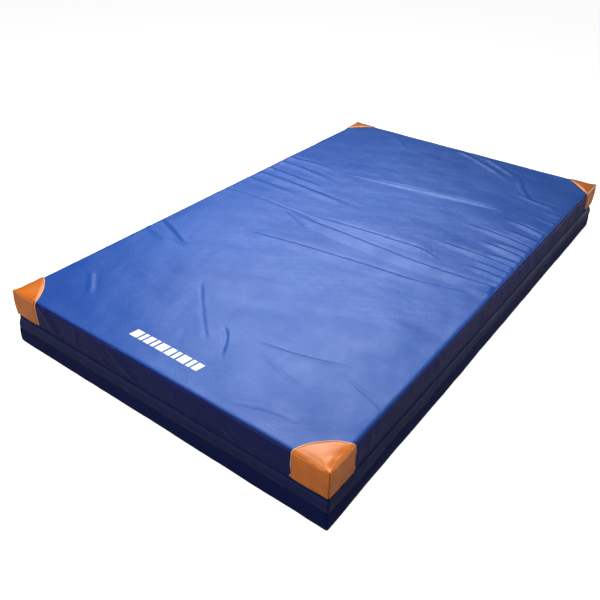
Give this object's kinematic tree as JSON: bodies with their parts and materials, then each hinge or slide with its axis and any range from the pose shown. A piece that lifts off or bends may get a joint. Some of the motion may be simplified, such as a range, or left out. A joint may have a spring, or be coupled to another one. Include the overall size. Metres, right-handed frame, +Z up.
{
  "type": "crash landing mat",
  "caption": "Thick foam landing mat in a zipped, coated-fabric cover with leather corner caps, a hanging zip flap and webbing carrying handles.",
  "frame": {"origin": "middle of the mat's underside, on the floor", "axes": "+X across the width towards the zipped right wall, +Y along the length towards the back wall, +Z up through the landing face"},
  "size_m": [1.256, 2.0105, 0.2015],
  "materials": {
    "blue_pvc": "coated fabric, soft sheen",
    "navy_pvc": "coated fabric, soft sheen",
    "base_fabric": "dimpled, matt",
    "leather": "smooth tan leather",
    "foam": "open-cell foam",
    "firm_foam": "open-cell foam",
    "zip_tape": "woven, matt",
    "zip_teeth": "moulded",
    "zip_metal": "nickel plated",
    "webbing": "woven webbing"
  },
  "bodies": {
    "mat": {"foam_base_slab": "firm_foam", "foam_top_slab": "foam", "base_panel": "base_fabric", "top_panel": "blue_pvc", "upper_band_front": "navy_pvc", "upper_band_right": "navy_pvc", "upper_band_back": "navy_pvc", "upper_band_left": "navy_pvc", "lower_band_front": "navy_pvc", "lower_band_right": "navy_pvc", "lower_band_back": "navy_pvc", "lower_band_left": "navy_pvc", "corner_cap_front_left": "leather", "corner_cap_front_right": "leather", "corner_cap_back_left": "leather", "corner_cap_back_right": "leather", "zip_tape_upper": "zip_tape", "zip_tape_lower": "zip_tape", "zip_teeth_upper": "zip_teeth", "zip_teeth_lower": "zip_teeth", "zip_end_stops": "zip_metal", "flap_hem": "navy_pvc", "handle_patches": "navy_pvc", "handle_sewn_ends": "webbing"},
    "slider_front": {"slider_front": "zip_metal"},
    "slider_right": {"slider_right": "zip_metal"},
    "pull_front": {"pull_front": "zip_metal"},
    "pull_right": {"pull_right": "zip_metal"},
    "flap_front": {"flap_front": "navy_pvc"},
    "flap_right": {"flap_right": "navy_pvc"},
    "handle_near": {"handle_strap_near": "webbing"},
    "handle_far": {"handle_strap_far": "webbing"}
  },
  "joints": [
    {"name": "flap_front_lift", "type": "hinge", "parent": "mat", "child": "flap_front", "pos_m": [0, -1.0016, 0.1034], "axis": [-1, 0, 0], "range_deg": [0, 110]},
    {"name": "flap_right_lift", "type": "hinge", "parent": "mat", "child": "flap_right", "pos_m": [0.6016, 0, 0.1034], "axis": [0, -1, 0], "range_deg": [0, 110]},
    {"name": "slider_front_run", "type": "slide", "parent": "mat", "child": "slider_front", "axis": [1, 0, 0], "range_m": [0, 1.08]},
    {"name": "slider_right_run", "type": "slide", "parent": "mat", "child": "slider_right", "axis": [0, -1, 0], "range_m": [0, 1.88]},
    {"name": "pull_front_swing", "type": "hinge", "parent": "slider_front", "child": "pull_front", "pos_m": [-0.5245, -1, 0.084], "axis": [0, -1, 0], "range_deg": [-90, 90]},
    {"name": "pull_right_swing", "type": "hinge", "parent": "slider_right", "child": "pull_right", "pos_m": [0.6, 0.9245, 0.084], "axis": [1, 0, 0], "range_deg": [-90, 90]},
    {"name": "handle_near_lift", "type": "hinge", "parent": "mat", "child": "handle_near", "pos_m": [-0.606, -0.45, 0.155], "axis": [0, 1, 0], "range_deg": [0, 90]},
    {"name": "handle_far_lift", "type": "hinge", "parent": "mat", "child": "handle_far", "pos_m": [-0.606, 0.45, 0.155], "axis": [0, 1, 0], "range_deg": [0, 90]}
  ]
}
